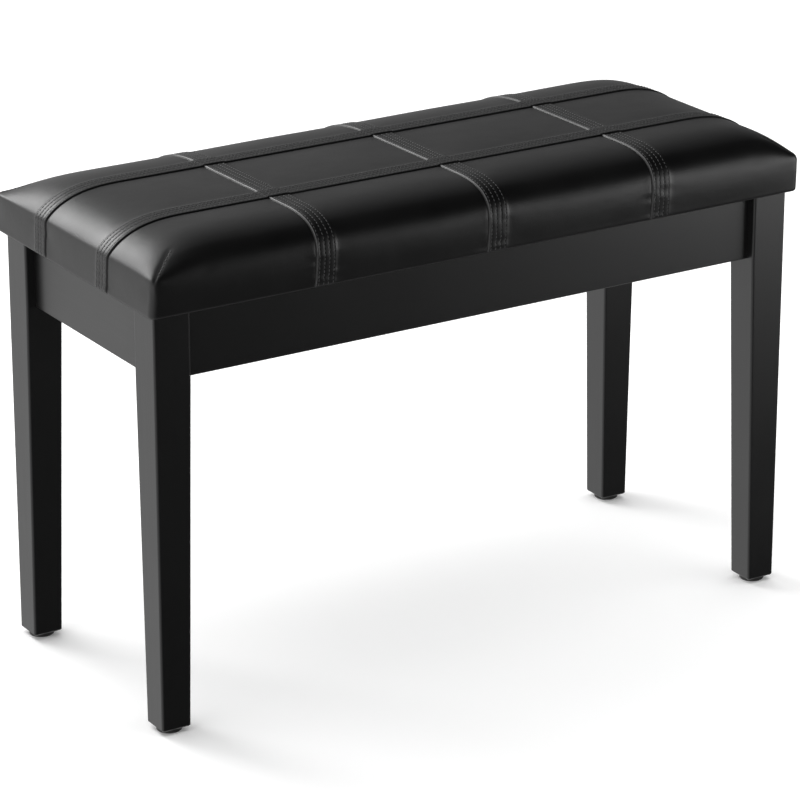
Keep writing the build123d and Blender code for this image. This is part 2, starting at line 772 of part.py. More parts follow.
along_length = int((lining_length - 2 * staple_pitch) // staple_pitch) + 1
along_width = int((lining_width - staple_pitch) // staple_pitch) + 1
with BuildPart() as lid_staples:
    for across, count, turned in (
        (lining_width - 2 * staple_inset, along_length, False),
        (lining_length - 2 * staple_inset, along_width, True),
    ):
        if turned:
            places = GridLocations(across, staple_pitch, 2, count)
            crown_size = (staple_wire, staple_crown)
            leg_spots = [(0, -staple_crown / 2), (0, staple_crown / 2)]
        else:
            places = GridLocations(staple_pitch, across, count, 2)
            crown_size = (staple_crown, staple_wire)
            leg_spots = [(-staple_crown / 2, 0), (staple_crown / 2, 0)]
        with BuildSketch(Plane.XY.offset(lining_bottom - staple_wire)):
            with places:
                Rectangle(*crown_size)
        extrude(amount=staple_wire)
        with BuildSketch(Plane.XY.offset(lining_bottom - staple_wire)):
            with places:
                with Locations(*leg_spots):
                    Rectangle(staple_wire, staple_wire)
        extrude(amount=staple_wire + staple_leg)
save(lid_staples, "lid_staples")

print("frame top", frame_top, "pin", round(pin_y, 2), round(pin_z, 2))
print("stay base", round(stay_base_y, 2), round(stay_base_z, 2))
print("elbow", round(elbow_y, 2), round(elbow_z, 2))
print("lid pivot", round(stay_lid_y, 2), round(stay_lid_z, 2))
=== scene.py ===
# %% [markdown]
# # A piano bench
# The bench is a shallow black box on four tapered legs, closed by a padded lid. The box, the
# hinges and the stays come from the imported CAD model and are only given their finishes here.
# What is soft or sewn is made here: the cushion, its stitching and the cloth under the lid.

# %% Load the frame
import json
import math

import bmesh
import bpy
from mathutils import Matrix, Vector, kdtree, noise
from mathutils.bvhtree import BVHTree


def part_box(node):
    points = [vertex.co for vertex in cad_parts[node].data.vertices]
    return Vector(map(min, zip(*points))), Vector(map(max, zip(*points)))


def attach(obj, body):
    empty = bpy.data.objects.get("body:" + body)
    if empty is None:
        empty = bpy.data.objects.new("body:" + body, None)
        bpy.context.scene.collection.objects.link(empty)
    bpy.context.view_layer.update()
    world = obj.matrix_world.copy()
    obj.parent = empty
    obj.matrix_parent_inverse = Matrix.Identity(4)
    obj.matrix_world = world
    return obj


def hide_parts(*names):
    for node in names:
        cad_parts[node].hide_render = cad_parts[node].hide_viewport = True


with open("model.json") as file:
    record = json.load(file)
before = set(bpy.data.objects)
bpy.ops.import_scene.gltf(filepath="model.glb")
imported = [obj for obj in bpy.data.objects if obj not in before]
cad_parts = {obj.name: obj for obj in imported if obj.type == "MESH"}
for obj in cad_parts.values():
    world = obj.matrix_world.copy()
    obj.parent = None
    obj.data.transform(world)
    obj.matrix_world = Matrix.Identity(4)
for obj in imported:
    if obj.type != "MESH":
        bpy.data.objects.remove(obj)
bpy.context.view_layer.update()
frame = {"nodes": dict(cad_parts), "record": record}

MM = 0.001    # a millimetre, in metres

# %% [markdown]
# ## Shader maths that reads like sums
# A material is a small network. Written as nodes it is hard to read, so one class wraps a
# socket and turns +, - and * on values into Math nodes. Every other node comes from one
# method, which takes the node's type, its settings and what goes into its sockets.


# %% Values that can be added and multiplied
class Value:
    """The output of a node, for sums on plain numbers."""

    def __init__(self, tree, socket):
        self.tree = tree
        self.socket = socket

    def maths(self, operation, *terms):
        node = self.tree.nodes.new("ShaderNodeMath")
        node.operation = operation
        for place, term in enumerate(terms):
            if isinstance(term, Value):
                self.tree.links.new(term.socket, node.inputs[place])
            else:
                node.inputs[place].default_value = term
        return Value(self.tree, node.outputs[0])

    def __add__(self, other):
        return self.maths("ADD", self, other)

    def __radd__(self, other):
        return self.maths("ADD", other, self)

    def __sub__(self, other):
        return self.maths("SUBTRACT", self, other)

    def __rsub__(self, other):
        return self.maths("SUBTRACT", other, self)

    def __mul__(self, other):
        return self.maths("MULTIPLY", self, other)

    def __rmul__(self, other):
        return self.maths("MULTIPLY", other, self)


# %% The one way to add any other node
class Network:
    """A tree of nodes."""

    def __init__(self, tree):
        self.tree = tree

    def node(self, kind, settings, sockets, output=0):
        made = self.tree.nodes.new("ShaderNode" + kind)
        for setting, value in settings.items():
            if setting == "stops":
                stops = made.color_ramp.elements
                for stop, (place, shade) in zip(stops, value):
                    stop.position = place
                    stop.color = (shade, shade, shade, 1)
            else:
                setattr(made, setting, value)
        for socket, value in sockets.items():
            if isinstance(value, Value):
                self.tree.links.new(value.socket, made.inputs[socket])
            else:
                made.inputs[socket].default_value = value
        return Value(self.tree, made.outputs[output])


# %% A finish is one material
class Finish(Network):
    """A material with its main shader, and the patterns that finishes share."""

    def __init__(self, name, **plain):
        self.material = bpy.data.materials.new(name)
        self.material.use_nodes = True
        super().__init__(self.material.node_tree)
        self.shader = self.tree.nodes["Principled BSDF"]
        for socket, number in plain.items():
            self.shader.inputs[socket.replace("_", " ")].default_value = number

    def place(self, stretch=(1, 1, 1)):
        """Object coordinates, stretched: a pattern grows longer along an axis with a small number."""
        where = self.node("TexCoord", {}, {}, output=3)
        return self.node("Mapping", {}, {"Vector": where, "Scale": stretch})

    def specks(self, scale, stretch=(1, 1, 1), detail=2.0, roughness=0.5):
        return self.node(
            "TexNoise",
            {},
            {"Vector": self.place(stretch), "Scale": scale, "Detail": detail,
             "Roughness": roughness},
        )

    def ramp(self, value, *stops):
        return self.node("ValToRGB", {"stops": stops}, {"Fac": value})

    def shade(self, mask, dark, light):
        """The colour dark where mask is 0 and light where it is 1."""
        colours = {0: mask, 6: (*dark, 1), 7: (*light, 1)}
        return self.node("Mix", {"data_type": "RGBA"}, colours, output=2)

    def feed(self, socket, value):
        self.tree.links.new(value.socket, self.shader.inputs[socket])

    def relief(self, height, depth, strength=1.0, under=None):
        """A bump that is depth metres deep where height goes from 0 to 1."""
        sockets = {"Height": height, "Distance": depth, "Strength": strength}
        if under is not None:
            sockets["Normal"] = under
        return self.node("Bump", {}, sockets)


# %% [markdown]
# ## Satin black lacquer
# The legs and aprons are hardwood under several coats of black lacquer, rubbed to a satin.
# The pores of the wood are filled, so the grain is only a faint ripple that runs the length of
# each piece. Above it lies the fine orange peel of the sprayed coat. A Bevel node softens the
# sharp corners of the CAD mesh, as lacquer does when it draws round an edge, and where it
# turns the surface most the coat is rubbed a little thinner and greyer.


# %% Lacquer, once for each direction of the grain
def lacquer(name, along):
    finish = Finish(name, Coat_Weight=0.25, Coat_Roughness=0.22, Specular_IOR_Level=0.5)
    fine = [1.0, 1.0, 1.0]
    fine["xyz".index(along)] = 0.035
    grain = finish.specks(260.0, stretch=fine, detail=3.0, roughness=0.6)
    peel = finish.specks(420.0, detail=1.0)
    cloud = finish.specks(9.0, detail=3.0)
    corner = finish.node("Bevel", {"samples": 4}, {"Radius": 1.2 * MM})
    flat = finish.node("NewGeometry", {}, {}, output=1)
    facing = finish.node("VectorMath", {"operation": "DOT_PRODUCT"}, {0: corner, 1: flat}, output=1)
    rubbed = finish.ramp(1 - facing, (0.01, 0.0), (0.2, 1.0)) * (0.35 + 0.65 * cloud)
    black, greyed = (0.0042, 0.0042, 0.0044), (0.022, 0.0215, 0.021)
    finish.feed("Base Color", finish.shade(rubbed, black, greyed))
    finish.feed("Roughness", 0.33 + 0.09 * cloud + 0.05 * grain + 0.08 * rubbed)
    ripple = finish.relief(grain, 0.05 * MM, under=corner)
    finish.feed("Normal", finish.relief(peel, 0.035 * MM, under=ripple))
    return finish.material


finishes = {}
for axis in "xyz":
    finishes["lacquer " + axis] = lacquer("satin lacquer, grain along " + axis, axis)
print("lacquers", sorted(finishes))

# %% [markdown]
# ## Bare and faced wood
# Corner blocks and the lid board are never seen from outside, so they stay raw. Blocks are
# sawn from a pale hardwood: stretched noise gives darker growth streaks. The lid board is
# plywood, the same idea with broader figure. The bottom panel has a black paper face.


# %% Raw wood
def raw_wood(name, dark, light, stretch, scale):
    finish = Finish(name, Specular_IOR_Level=0.35)
    figure = finish.specks(scale, stretch=stretch, detail=5.0, roughness=0.62)
    pores = finish.specks(scale * 9, stretch=stretch, detail=2.0)
    streaks = finish.ramp(figure, (0.36, 0.0), (0.68, 1.0))
    finish.feed("Base Color", finish.shade(streaks, dark, light))
    finish.feed("Roughness", 0.62 + 0.2 * pores)
    finish.feed("Normal", finish.relief(pores, 0.12 * MM))
    return finish.material


def faced_board():
    finish = Finish("black faced board", Specular_IOR_Level=0.4)
    fibre = finish.specks(900.0, detail=2.0)
    cloud = finish.specks(14.0, detail=2.0)
    finish.feed("Base Color", finish.shade(cloud, (0.014, 0.014, 0.015), (0.028, 0.028, 0.029)))
    finish.feed("Roughness", 0.5 + 0.16 * fibre)
    finish.feed("Normal", finish.relief(fibre, 0.03 * MM))
    return finish.material


finishes["bare_wood"] = raw_wood(
    "sawn hardwood", (0.44, 0.29, 0.16), (0.66, 0.49, 0.31), (1, 1, 0.12), 70.0
)
finishes["lid_plywood"] = raw_wood(
    "raw plywood", (0.50, 0.35, 0.20), (0.72, 0.57, 0.38), (0.06, 1, 1), 45.0
)
finishes["panel_board"] = faced_board()

# %% [markdown]
# ## Metal, plastic and rubber
# Hinges and stays are nickel-plated steel strip with the fine lines of rolling. Screws, bolts
# and staples are zinc plated, a duller and bluer grey. Glides are moulded plastic, scuffed
# by the floor, and the bumpers are plain rubber with a dusty bloom.


# %% Steel
def steel(name, colour, bright, stretch):
    finish = Finish(name, Metallic=1.0)
    lines = finish.specks(700.0, stretch=stretch, detail=2.0)
    stain = finish.specks(60.0, detail=4.0)
    dull = tuple(0.72 * c for c in colour)
    finish.feed("Base Color", finish.shade(stain, dull, colour))
    finish.feed("Roughness", bright + 0.22 * stain + 0.08 * lines)
    finish.feed("Normal", finish.relief(lines, 0.012 * MM))
    return finish.material


finishes["plated_steel"] = steel("nickel plate", (0.66, 0.63, 0.58), 0.16, (1, 0.06, 1))
finishes["zinc_steel"] = steel("zinc plate", (0.60, 0.62, 0.64), 0.26, (1, 1, 1))


# %% Plastic and rubber
def moulded(name, dark, light, shine, scale):
    finish = Finish(name, Specular_IOR_Level=0.4)
    scuff = finish.specks(scale, detail=4.0)
    grit = finish.specks(scale * 7, detail=1.0)
    finish.feed("Base Color", finish.shade(scuff, dark, light))
    finish.feed("Roughness", shine + 0.2 * scuff)
    finish.feed("Normal", finish.relief(grit, 0.04 * MM))
    return finish.material


finishes["glide_plastic"] = moulded(
    "moulded glide", (0.010, 0.010, 0.010), (0.028, 0.027, 0.026), 0.42, 160.0
)
finishes["bumper_rubber"] = moulded(
    "rubber bumper", (0.018, 0.018, 0.018), (0.045, 0.044, 0.042), 0.66, 240.0
)

# %% [markdown]
# ## Leatherette
# The cover is vinyl-coated cloth. Its face is embossed with a tight grain of little cells a
# millimetre or less across, so a Voronoi pattern gives the valleys between them and noise
# keeps them uneven. A broader noise makes the soft unevenness of a skin over foam. The
# cushion carries two attributes. One, crease, is 1 down in the seams and the dart grooves:
# there the colour is painted darker as painted shade, and dust makes them rougher. The
# other, fold, is 1 on the folded edge of each cross band, a little less on the upright
# sides: there a pale grey painted highlight is put into the colour, and the surface is
# made glossier.


# %% Leatherette
def leatherette():
    finish = Finish("black leatherette", Specular_IOR_Level=0.58)
    cells = finish.node(
        "TexVoronoi",
        {"feature": "SMOOTH_F1"},
        {"Vector": finish.place(), "Scale": 1150.0, "Smoothness": 0.5, "Randomness": 1.0},
    )
    uneven = finish.specks(520.0, detail=2.0)
    slack = finish.specks(38.0, detail=2.0)
    cloud = finish.specks(11.0, detail=3.0)
    worn = finish.ramp(cloud, (0.3, 0.0), (0.75, 1.0))
    crease = finish.node("Attribute", {"attribute_name": "crease"}, {}, output=2)
    fold = finish.node("Attribute", {"attribute_name": "fold"}, {}, output=2)
    # fold puts a pale painted highlight into the colour; crease takes the worn tint out of the seams,
    # a painted shade
    face = 0.016 * worn * (1 - crease) + fold
    finish.feed("Roughness", 0.37 + 0.07 * worn + 0.05 * uneven + 0.3 * crease - 0.1 * fold)
    finish.feed("Base Color", finish.shade(face, (0.0009, 0.0009, 0.0010), (0.10, 0.10, 0.101)))
    soft = finish.relief(slack, 0.55 * MM, strength=0.5)
    grain = finish.relief(cells + 0.35 * uneven, 0.09 * MM, strength=0.55, under=soft)
    finish.feed("Normal", grain)
    return finish.material


finishes["leatherette"] = leatherette()


# %% Thread and the cloth under the lid
def thread_finish():
    finish = Finish("bonded nylon thread", Specular_IOR_Level=0.6, Sheen_Weight=0.1)
    twist = finish.specks(2200.0, detail=1.0)
    finish.feed("Base Color", finish.shade(twist, (0.020, 0.020, 0.020), (0.060, 0.060, 0.061)))
    finish.feed("Roughness", 0.38 + 0.2 * twist)
    finish.feed("Normal", finish.relief(twist, 0.05 * MM))
    return finish.material


def dust_cloth():
    """Spun-bonded cloth: fibres pressed together, welded in a grid of small dots."""
    finish = Finish("spun bonded cloth", Specular_IOR_Level=0.25, Sheen_Weight=0.2)
    fibres = finish.specks(1500.0, stretch=(1, 0.35, 1), detail=4.0, roughness=0.7)
    dots = finish.node(
        "TexVoronoi",
        {"feature": "F1"},
        {"Vector": finish.place((1, 1, 0)), "Scale": 620.0, "Randomness": 0.15},
    )
    weld = finish.ramp(dots, (0.18, 0.0), (0.34, 1.0))
    tone = finish.shade(fibres * weld, (0.012, 0.012, 0.013), (0.045, 0.045, 0.047))
    finish.feed("Base Color", tone)
    finish.feed("Roughness", 0.66 + 0.25 * fibres)
    finish.feed("Normal", finish.relief(weld * 0.7 + fibres * 0.5, 0.12 * MM))
    return finish.material


finishes["thread"] = thread_finish()
finishes["dust_cloth"] = dust_cloth()

# %% [markdown]
# ## Dress the CAD nodes
# Each CAD node names a material slot in the record. Wood grain follows the piece: up the
# legs, along X in the front and back aprons and along Y in the side aprons.

# %% Give every kept CAD node its finish
slots = {part["node"]: part["material_slot"] for part in frame["record"]["subparts"]}
grain_along = {"apron_front": "x", "apron_rear": "x", "apron_left": "y", "apron_right": "y"}
for node, piece in frame["nodes"].items():
    slot = slots[node]
    if slot == "lacquered_wood":
        slot = "lacquer " + grain_along.get(node, "z")
    if slot in finishes:
        piece.data.materials.clear()
        piece.data.materials.append(finishes[slot])
print("dressed", len(frame["nodes"]), "CAD nodes")

# %% [markdown]
# ## The cushion: how it is sewn
# The top is made of twelve panels of leatherette. Where two panels meet, one is folded under
# and lapped over the other, and four rows of topstitching hold the lap down, so each seam
# shows as a flat band with a fold along one edge and a groove beside it. Three bands cross
# the seat and two run the length of it, over the others.
#
# The skin could be a cloth with strips laid on it, but strips leave edges that sink in and
# out of the foam. Here it is one grid whose lines are close together only at the bands, so
# that folds, grooves and rows of stitches are real relief in one closed skin.

# %% Sizes of the cushion
low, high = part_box("seat_cover")
half_length, half_width, underside = high.x, high.y, low.z
end_lean, side_bulge = 1.5 * MM, 3 * MM    # ends lean in, front and back swell out, going up
top_length, top_width = half_length - end_lean, half_width + side_bulge
corner = 7 * MM
side_height = 38 * MM
crown_rise = 28 * MM
fuller_front = 0.015                       # how much the foam thickens towards the front
end_run, end_power, end_round = 90 * MM, 3.0, 1.2
front_run, front_power, front_round = 60 * MM, 2.5, 2.3
rear_run, rear_power, rear_round = 116 * MM, 3.2, 1.0
cross_folds = [-200 * MM, -3 * MM, 193 * MM]    # folded edge of each band, on its -X side
long_folds = [-75.5 * MM, 52.5 * MM]            # folded edge of each band, on its -Y side
stitch_rows = [3.0, 8.5, 14.0, 19.5]            # millimetres in from the fold
band_width = 22.0                               # millimetres


def ease(value, start, stop):
    """0 before start, 1 after stop, smooth between."""
    part = min(max((value - start) / (stop - start), 0.0), 1.0)
    return part * part * (3 - 2 * part)


def rise(inset, run, power, round_off):
    """Climbs from 0 at the edge to 1 a run in from it; round_off makes its start steeper."""
    part = min(max(inset / run, 0), 1)
    return (1 - (1 - part) ** power) ** (1 / round_off)


def crown(x, y):
    """Height of the cushion's top above the lid's underside."""
    end = rise(top_length - abs(x), end_run, end_power, end_round)
    if y < 0:
        edge = rise(top_width + y, front_run, front_power, front_round)
    else:
        edge = rise(top_width - y, rear_run, rear_power, rear_round)
    return side_height + (crown_rise - fuller_front * y) * end * edge


print("top of the cushion", round(underside + crown(0, 0), 4), "m")

# %% [markdown]
# ### The profile across a band
# A lapped seam is described by its height above the panels at points across it: a shallow
# roll before the seam, the groove, the round fold, then a rise between stitches and a dip at
# each row. The grid gets a line at each of these points. The heights are those of a loose
# lap, and stitching presses it down to a share of them.

# %% Relief across a lapped seam, in millimetres
lap = [
    (-9.0, 0.0), (-5.5, 0.1), (-3.0, 0.15), (-1.6, -0.05), (-1.0, -0.4), (-0.6, -0.45),
    (-0.4, 0.25), (-0.25, 0.8), (0.0, 1.3), (0.4, 1.75), (0.9, 2.05), (1.5, 2.1), (2.2, 1.8),
    (3.0, 1.05),
]
for row, after in zip(stitch_rows, stitch_rows[1:]):
    lap += [(row + 0.6, 1.4), (row + 1.5, 1.5), ((row + after) / 2, 1.52),
            (after - 1.5, 1.48), (after - 0.6, 1.38), (after, 0.95)]
lap += [(20.1, 1.3), (21.0, 1.3), (band_width, 0.9), (23.0, 0.35), (24.5, 0.05), (28.0, 0.0)]
before_lap, after_lap = lap[0][0], lap[-1][0]
pressed = 0.66


def lap_height(across):
    """Relief in millimetres at a distance in millimetres from the fold."""
    for (start, low_end), (stop, high_end) in zip(lap, lap[1:]):
        if start <= across < stop:
            part = (across - start) / (stop - start)
            return pressed * (low_end + (high_end - low_end) * part)
    return 0.0


print("lines across one band", len(lap))


# %% Lines of the grid: fine at the bands and near the edges, coarse between
def grid_lines(half, folds, margins, step):
    fixed = [fold + across * MM for fold in folds for across, height in lap]
    fixed += [side * (half - inset * MM) for side in (-1, 1) for inset in margins]
    fixed = sorted(fixed)
    lines = []
    for start, stop in zip(fixed, fixed[1:]):
        count = max(1, math.ceil((stop - start) / step - 0.01))
        lines += [start + (stop - start) * part / count for part in range(count)]
    return lines + [fixed[-1]]


coarse_step = 5.5 * MM
edge_margins = (0, 0.5, 1.3, 2.4, 4, 6, 8, 10.5, 13, 15.5, 18, 20.5, 23, 26, 29, 32, 36)
columns = grid_lines(top_length, cross_folds, edge_margins, coarse_step)
rows = grid_lines(top_width, long_folds, edge_margins, coarse_step)
print("grid", len(columns), "by", len(rows))

# %% [markdown]
# ### From a flat grid to a boxed cushion
# A grid is made at its final count of lines, moved onto the lines, bent round the corners in
# plan and lifted to the crown. Its border is then extruded down, ring by ring, to make the
# side, rounded under at the bottom, and turned in below as the hem. Three integer layers
# remember each vertex's column, row and ring, which finds the stitch lines again later.

# %% Grid on its lines
skin = bmesh.new()
layer = {name: skin.verts.layers.int.new(name) for name in ("column", "row", "ring")}
bmesh.ops.create_grid(
    skin, x_segments=len(columns) - 1, y_segments=len(rows) - 1, size=0.5, calc_uvs=False
)


def rounded_in_plan(x, y):
    """Moves a point of the rectangle so that the border goes round the corner radius."""
    past_x = max(abs(x) - (top_length - corner), 0)
    past_y = max(abs(y) - (top_width - corner), 0)
    if past_x > 0 and past_y > 0:
        shrink = max(past_x, past_y) / math.hypot(past_x, past_y)
        x = math.copysign(top_length - corner + past_x * shrink, x)
        y = math.copysign(top_width - corner + past_y * shrink, y)
    return x, y


for vert in skin.verts:
    column = round((vert.co.x + 0.5) * (len(columns) - 1))
    row = round((vert.co.y + 0.5) * (len(rows) - 1))
    vert[layer["column"]], vert[layer["row"]] = column, row
    x, y = rounded_in_plan(columns[column], rows[row])
    vert.co = x, y, underside + crown(x, y)

# %% The side, the rounded lower edge and the hem
bottom_round = 3 * MM


def tuck(height):
    """How far the side has turned in at this height above the underside."""
    if height >= bottom_round:
        return 0.0
    return bottom_round - math.sqrt(bottom_round**2 - (bottom_round - height) ** 2)


def outward(x, y):
    """Horizontal direction out of the border at one of its points."""
    past_x = max(abs(x) - (top_length - corner), 0)
    past_y = max(abs(y) - (top_width - corner), 0)
    away = Vector((math.copysign(past_x, x), math.copysign(past_y, y), 0))
    if past_x == 0 or past_y == 0:
        away = Vector((math.copysign(past_x > 0, x), math.copysign(past_y > 0, y), 0))
    return away.normalized()


levels = [                        # of the rings, in millimetres above the underside
    36.2, 34.2, 32, 29.5, 27, 24.4, 21.8, 19.2, 16.6, 14, 11.5, 9.2, 7, 5, 3.4, 2.1, 1.1, 0.4, 0,
]
lean_ends = -12 * MM              # height at which the lean of the side would be all gone
border = {edge for edge in skin.edges if edge.is_boundary}
border_start = {
    (v[layer["column"]], v[layer["row"]]): v.co.copy() for e in border for v in e.verts
}


def next_ring(border, number, place):
    """Extrudes the border once and puts each new vertex where place says."""
    made = bmesh.ops.extrude_edge_only(skin, edges=list(border))["geom"]
    for vert in [item for item in made if isinstance(item, bmesh.types.BMVert)]:
        start = border_start[vert[layer["column"]], vert[layer["row"]]]
        vert[layer["ring"]] = number
        vert.co = place(start)
    return {item for item in made if isinstance(item, bmesh.types.BMEdge) and item.is_boundary}


for number, height in enumerate(levels, 1):
    def on_side(start, height=height * MM):
        inward = tuck(height) * outward(start.x, start.y)
        down = 1 - ease(height, lean_ends, side_height)
        x = start.x * (1 + down * (half_length / top_length - 1))
        y = start.y * (1 + down * (half_width / top_width - 1))
        return Vector((x - inward.x, y - inward.y, underside + height))

    border = next_ring(border, number, on_side)
last_side_ring = len(levels)

hem_rings = [(14, 0), (24, 0), (32, 0), (32, 2.2)]     # inset and lift, in millimetres
for number, (inset, lift) in enumerate(hem_rings, last_side_ring + 1):
    def on_hem(start, inset=inset * MM, lift=lift * MM):
        x = start.x * (half_length - inset) / top_length
        y = start.y * (half_width - inset) / top_width
        return Vector((x, y, underside + lift))

    border = next_ring(border, number, on_hem)
bmesh.ops.edgeloop_fill(skin, edges=list(border))
bmesh.ops.recalc_face_normals(skin, faces=skin.faces)
print("boxed skin", len(skin.verts), "vertices", len(skin.faces), "faces")

# %% [markdown]
# ### Soft shoulders
# Foam rounds the edge where the top meets the side: a little at the two ends, more along the
# front and back. Smoothing the vertices near the edge does that. It works only across the
# edge, never along it, so that the bands stay where they are.


# %% Smooth the shoulder
def shoulder(side_axis, reach_in, reach_down, rounds):
    half = (half_length, half_width)[side_axis]
    near = [
        v for v in skin.verts
        if abs(v.co[side_axis]) > half - reach_in
        and v.co.z > underside + side_height - reach_down
        and v[layer["ring"]] <= last_side_ring
    ]
    for _ in range(rounds):
        bmesh.ops.smooth_vert(
            skin, verts=near, factor=0.5,
            use_axis_x=side_axis == 0, use_axis_y=side_axis == 1, use_axis_z=True,
        )
    print("smoothed", len(near), "vertices", rounds, "times")


shoulder(0, 9 * MM, 9 * MM, 8)
shoulder(1, 12 * MM, 12 * MM, 12)
skin.normal_update()

# %% [markdown]
# ### Stuffing the panels
# A sewn panel stands up between its seams because the foam under it is squeezed in. Cloth
# simulation finds that shape: a remeshed copy of the skin is pinned along the bands and
# underneath, and blown up from inside. The pressure moves it too far in the open panels, so
# each move is capped, and the moves are carried over to the skin, not the copy's own mesh.


# %% Blow up a remeshed copy
voxel, pressure, last_frame = 6 * MM, 4, 20


def band_distance(x, y):
    """Metres from the nearest stitched band; 0 on one."""
    half = band_width / 2 * MM
    gaps = [abs(x - fold - half) - half for fold in cross_folds]
    gaps += [abs(y - fold - half) - half for fold in long_folds]
    return max(min(gaps), 0.0)


def stuffed_moves():
    """Where vertices of a remeshed copy start, and how far pressure moves each."""
    mesh = bpy.data.meshes.new("stuffing")
    skin.to_mesh(mesh)
    copy = bpy.data.objects.new("stuffing", mesh)
    bpy.context.scene.collection.objects.link(copy)
    remesh = copy.modifiers.new("even faces", "REMESH")
    remesh.mode = "VOXEL"
    remesh.voxel_size = voxel
    graph = bpy.context.evaluated_depsgraph_get()
    even = bpy.data.meshes.new_from_object(copy.evaluated_get(graph))
    copy.modifiers.clear()
    copy.data = even
    pins = copy.vertex_groups.new(name="pins")
    for vert in even.vertices:
        x, y, z = vert.co
        held = z < underside + 2 * MM or band_distance(x, y) < 2 * MM
        pins.add([vert.index], 1.0 if held else 0.0, "REPLACE")
    cloth = copy.modifiers.new("cover", "CLOTH")
    cloth.settings.quality = 5
    cloth.settings.mass = 0.4
    cloth.settings.tension_stiffness = 25
    cloth.settings.compression_stiffness = 25
    cloth.settings.bending_stiffness = 1.5
    cloth.settings.use_pressure = True
    cloth.settings.uniform_pressure_force = pressure
    cloth.settings.vertex_group_mass = "pins"
    cloth.settings.effector_weights.gravity = 0
    cloth.point_cache.frame_start, cloth.point_cache.frame_end = 1, last_frame
    starts = [v.co.copy() for v in even.vertices]
    for step in range(1, last_frame + 1):
        bpy.context.scene.frame_set(step)
    graph = bpy.context.evaluated_depsgraph_get()
    blown = copy.evaluated_get(graph).to_mesh()
    moves = [v.co - start for v, start in zip(blown.vertices, starts)]
    bpy.context.scene.frame_set(1)
    bpy.data.objects.remove(copy)
    return starts, moves


cap = 2.6 * MM


def capped(move):
    """The same direction, but never further than cap."""
    return move * (cap / (cap + move.length))


skin.verts.ensure_lookup_table()
settled = [Vector() for _ in skin.verts]
starts, moves = stuffed_moves()
tree = kdtree.KDTree(len(starts))
for index, start in enumerate(starts):
    tree.insert(start, index)
tree.balance()
for vert in skin.verts:
    if vert[layer["ring"]] < last_side_ring - 1:
        found = tree.find_n(vert.co, 5)
        weights = [1 / (distance + MM) for _, _, distance in found]
        total = sum(weights)
        for (_, index, _), weight in zip(found, weights):
            settled[vert.index] += capped(moves[index]) * (weight / total)
print("largest move", round(max(m.length for m in settled) * 1000, 2), "mm")

# %% [markdown]
# ### Relief on the skin
# Now the skin gets its bands. At a crossing the long band lies on top: it keeps its own
# relief and only swells where it climbs over the band below. On the upright sides the rows
# of stitches gather the cover into small puckers. At each corner a short dart takes in the
# spare leatherette, so a groove runs in from the corner.


# %% Height of the relief at a place on the skin
climb = 0.9                       # millimetres that a long band rises over a cross band
gather_depth = 0.8                # millimetres
dart_length, dart_width, dart_depth = 42 * MM, 1.5 * MM, 1.3    # the depth in millimetres
dart_turn = (0.79, 0.61)          # its direction in plan, away from the corner
dart_start = 2.5 * MM             # in from both edges


def band_relief(x, y):
    """Relief of the bands in millimetres, then how far a place is in a crease (for painted shade) and
    how much painted highlight it gets on a cross-band fold.
    """
    across = max((lap_height((x - fold) / MM) for fold in cross_folds), key=abs)
    over, swell = 0.0, 0.0
    for fold in cross_folds:
        from_fold = (x - fold) / MM
        swell = max(swell, ease(from_fold, -3.5, 0.5) * (1 - ease(from_fold, 21.0, 25.0)))
    covering = 0.0
    for fold in long_folds:
        from_fold = (y - fold) / MM
        if before_lap < from_fold < after_lap:
            over = lap_height(from_fold)
            covering = ease(from_fold, -0.6, -0.1) * (1 - ease(from_fold, 21.5, 24.5))
    relief = over + across * (1 - covering) + climb * swell * covering
    # How much painted highlight the folded edge of each cross band gets; it is left off under the
    # long bands.
    turned = max(
        ease(x - fold, -0.1 * MM, 0.3 * MM) * (1 - ease(x - fold, 0.5 * MM, 1.2 * MM))
        for fold in cross_folds
    )
    return relief, ease(-relief, 0.05, 0.8), turned * (1 - covering)


def pucker(vert, x, y):
    """Small gathers on the upright sides beside the stitching, in millimetres."""
    height = (vert.co.z - underside) / MM
    upright = ease(height, 2, 7) * (1 - ease(height, 32, 42))
    gather = 0.0
    for number, fold in enumerate(cross_folds + long_folds):
        place = x if fold in cross_folds else y
        from_fold = (place - fold) / MM
        window = ease(from_fold, -14, -1) * (1 - ease(from_fold, 20, 34))
        wave = noise.noise(Vector((from_fold * 0.055, height * 0.16, 3.7 * number + x)))
        gather += window * wave
    return gather_depth * upright * gather


def dart(x, y):
    """Relief of the corner darts in millimetres."""
    inset_x = top_length - dart_start - abs(x)
    inset_y = top_width - dart_start - abs(y)
    along = inset_x * dart_turn[0] + inset_y * dart_turn[1]
    beside = inset_x * dart_turn[1] - inset_y * dart_turn[0]
    if not -4 * MM < along < dart_length + 8 * MM:
        return 0.0
    fade = ease(along, -4 * MM, 2 * MM) * (1 - ease(along, dart_length - 9 * MM, dart_length))
    return -dart_depth * fade * math.exp(-((beside / dart_width) ** 2))


